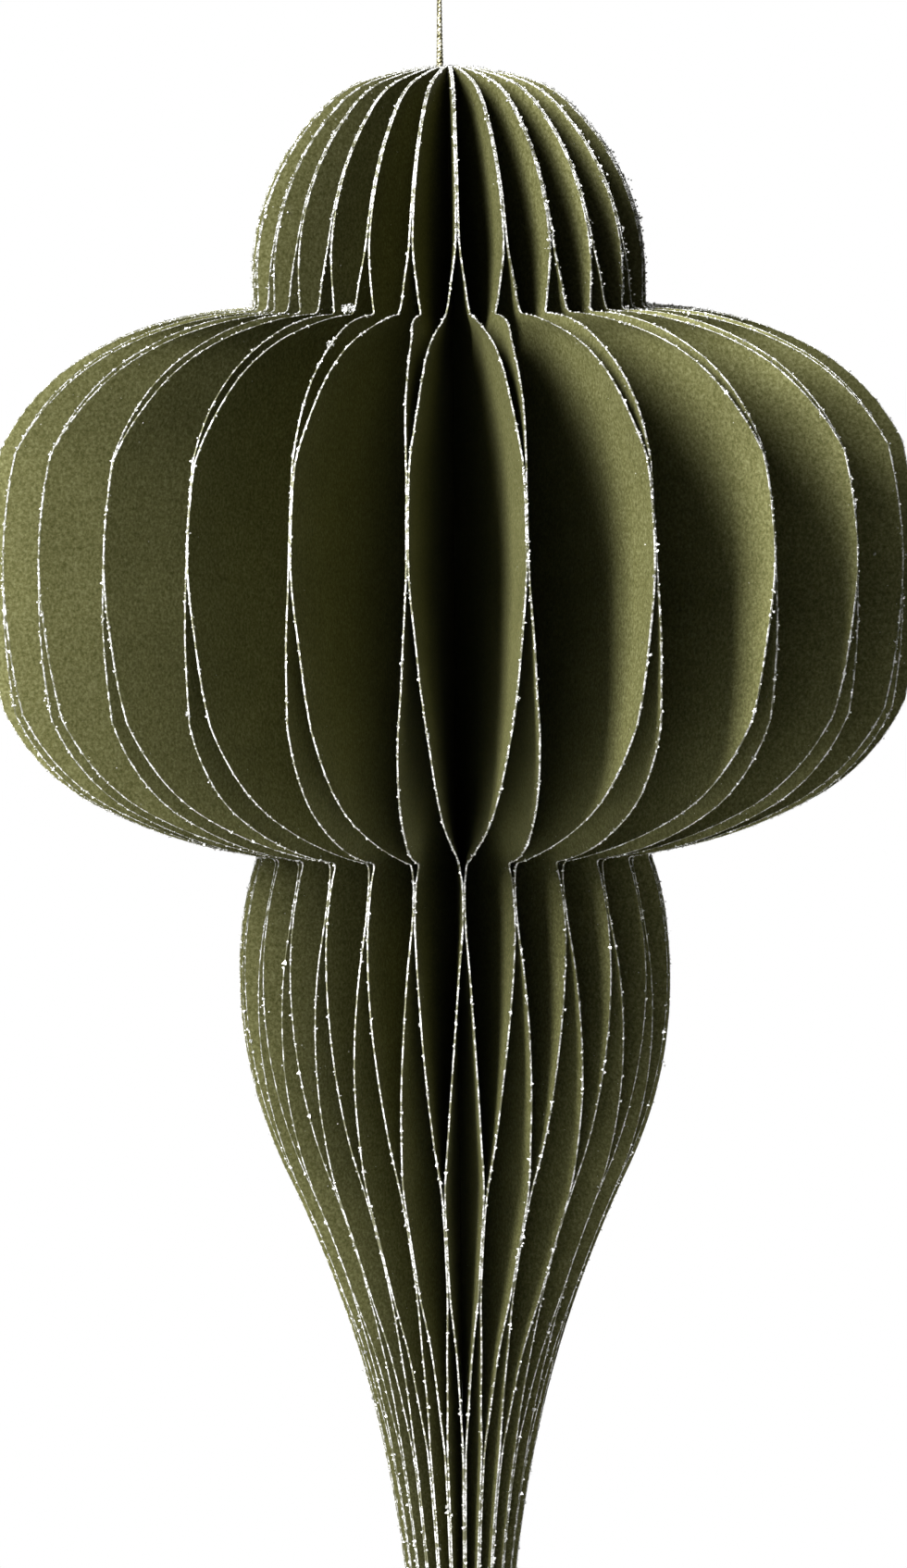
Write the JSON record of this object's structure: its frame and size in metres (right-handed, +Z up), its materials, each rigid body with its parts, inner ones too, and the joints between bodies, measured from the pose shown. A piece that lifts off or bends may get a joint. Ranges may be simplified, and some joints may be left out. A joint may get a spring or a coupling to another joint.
{
  "type": "hanging paper finial ornament",
  "caption": "Hanging finial of die-cut card leaves glued in pairs round an upright axis and bowed open in three tiers, with glittered edges and a cord loop to hang it by.",
  "frame": {"origin": "where a hook bears inside the top of the cord loop", "axes": "+Z up, parallel to the ornament's axis, which stands 1.2 mm towards +X of the cord; -Y faces the viewer of the picture"},
  "size_m": [0.1507, 0.1501, 0.3529],
  "materials": {
    "card": "matt olive green card with white and silver glitter on the cut edges",
    "cord": "thin twisted cord with pale gold metallic thread"
  },
  "bodies": {
    "root": {"leaf_01": "card", "leaf_02": "card", "leaf_03": "card", "leaf_04": "card", "leaf_05": "card", "leaf_06": "card", "leaf_07": "card", "leaf_08": "card", "leaf_09": "card", "leaf_10": "card", "leaf_11": "card", "leaf_12": "card", "leaf_13": "card", "leaf_14": "card", "leaf_15": "card", "leaf_16": "card", "leaf_17": "card", "leaf_18": "card", "leaf_19": "card", "leaf_20": "card", "leaf_21": "card", "leaf_22": "card", "leaf_23": "card", "leaf_24": "card", "leaf_25": "card", "leaf_26": "card", "leaf_27": "card", "leaf_28": "card", "leaf_29": "card", "leaf_30": "card", "leaf_31": "card", "leaf_32": "card", "leaf_33": "card", "leaf_34": "card", "leaf_35": "card", "leaf_36": "card", "leaf_37": "card", "leaf_38": "card", "leaf_39": "card", "leaf_40": "card", "leaf_41": "card", "leaf_42": "card", "leaf_43": "card", "leaf_44": "card", "leaf_45": "card", "leaf_46": "card", "leaf_47": "card", "leaf_48": "card", "hanging_cord": "cord", "cord_knot": "cord"}
  },
  "joints": []
}
